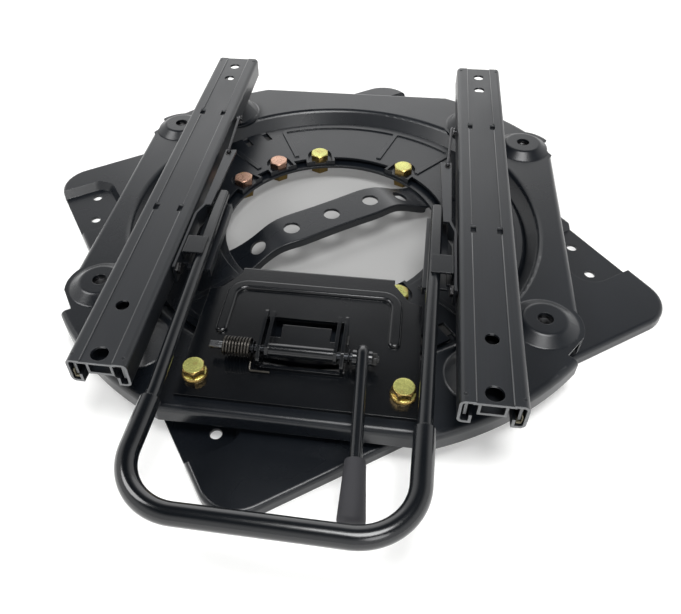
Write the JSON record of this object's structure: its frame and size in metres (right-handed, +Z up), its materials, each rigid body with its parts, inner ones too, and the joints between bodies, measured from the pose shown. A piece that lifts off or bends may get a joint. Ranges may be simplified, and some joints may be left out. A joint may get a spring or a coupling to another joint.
{
  "type": "swivel seat base",
  "caption": "Pressed steel turntable for a vehicle seat, with a square base, two seat slide rails, a towel-bar slide handle and a swivel release lever.",
  "frame": {"origin": "swivel axis, at the level of the faces that bolt to the seat box", "axes": "+Z up along the swivel axis, +Y towards the back of the seat, away from the handle, +X to the right seen from the handle"},
  "size_m": [0.5637, 0.6081, 0.0712],
  "materials": {
    "black_paint": "satin",
    "rail_steel": "satin",
    "handle_paint": "gloss",
    "rod_steel": "satin",
    "spring_steel": "oiled",
    "plated_fasteners": "yellow zinc plate",
    "grip_plastic": "matt",
    "slide_plastic": "plain"
  },
  "bodies": {
    "base": {"base_plate": "black_paint", "lock_ring": "black_paint", "ring_bolts": "plated_fasteners", "ring_nuts": "plated_fasteners", "cable_strap": "black_paint", "lower_slide_ring": "slide_plastic"},
    "turntable": {"turntable_plate": "black_paint", "upper_slide_ring": "slide_plastic", "seat_nuts": "black_paint", "rail_spacers": "rail_steel", "rail_bolts": "rail_steel", "rail_nuts": "rail_steel", "latch_plate": "black_paint", "latch_bolts": "plated_fasteners", "latch_nuts": "plated_fasteners", "latch_bracket": "black_paint", "latch_spring": "spring_steel", "lower_rail_left": "rail_steel", "lower_rail_right": "rail_steel", "slide_shoes_left": "slide_plastic", "slide_shoes_right": "slide_plastic"},
    "release": {"pivot_rod": "rod_steel", "catch_pawl": "black_paint", "release_lever": "rod_steel", "lever_grip": "grip_plastic"},
    "upper_left": {"upper_rail_left": "rail_steel", "hinge_pin_left": "rod_steel"},
    "upper_right": {"upper_rail_right": "rail_steel", "hinge_pin_right": "rod_steel"},
    "handle": {"handle_tube": "handle_paint", "handle_leg_left": "handle_paint", "handle_leg_right": "handle_paint", "lock_lever_left": "rail_steel", "lock_lever_right": "rail_steel", "lever_clip_left": "handle_paint", "lever_clip_right": "handle_paint"},
    "wire_left": {"wire_spring_left": "rod_steel"},
    "wire_right": {"wire_spring_right": "rod_steel"}
  },
  "joints": [
    {"name": "swivel", "type": "hinge", "parent": "base", "child": "turntable", "pos_m": [0, 0, 0], "axis": [0, 0, 1], "continuous": true},
    {"name": "swivel_release", "type": "hinge", "parent": "turntable", "child": "release", "pos_m": [0, -0.18, 0.044], "axis": [1, 0, 0], "range_deg": [0, 8], "stiffness_Nm_per_rad": 2, "springref_deg": -11.46},
    {"name": "slide_left", "type": "slide", "parent": "turntable", "child": "upper_left", "axis": [0, 1, 0], "range_m": [-0.09, 0.09]},
    {"name": "slide_right", "type": "slide", "parent": "turntable", "child": "upper_right", "axis": [0, 1, 0], "range_m": [-0.09, 0.09]},
    {"name": "handle_lift", "type": "hinge", "parent": "upper_left", "child": "handle", "pos_m": [0, -0.12, 0.06], "axis": [-1, 0, 0], "range_deg": [0, 6], "stiffness_Nm_per_rad": 12, "springref_deg": -14.32},
    {"name": "wire_left_turn", "type": "hinge", "parent": "upper_left", "child": "wire_left", "pos_m": [0, 0.098, 0.062], "axis": [1, 0, 0], "range_deg": [0, 14]},
    {"name": "wire_right_turn", "type": "hinge", "parent": "upper_right", "child": "wire_right", "pos_m": [0, 0.098, 0.062], "axis": [1, 0, 0], "range_deg": [0, 14]}
  ],
  "couplings": [
    {"joint": "slide_right", "follows": "slide_left", "ratio": 1},
    {"joint": "wire_left_turn", "follows": "handle_lift", "ratio": 2.25},
    {"joint": "wire_right_turn", "follows": "handle_lift", "ratio": 2.25}
  ]
}
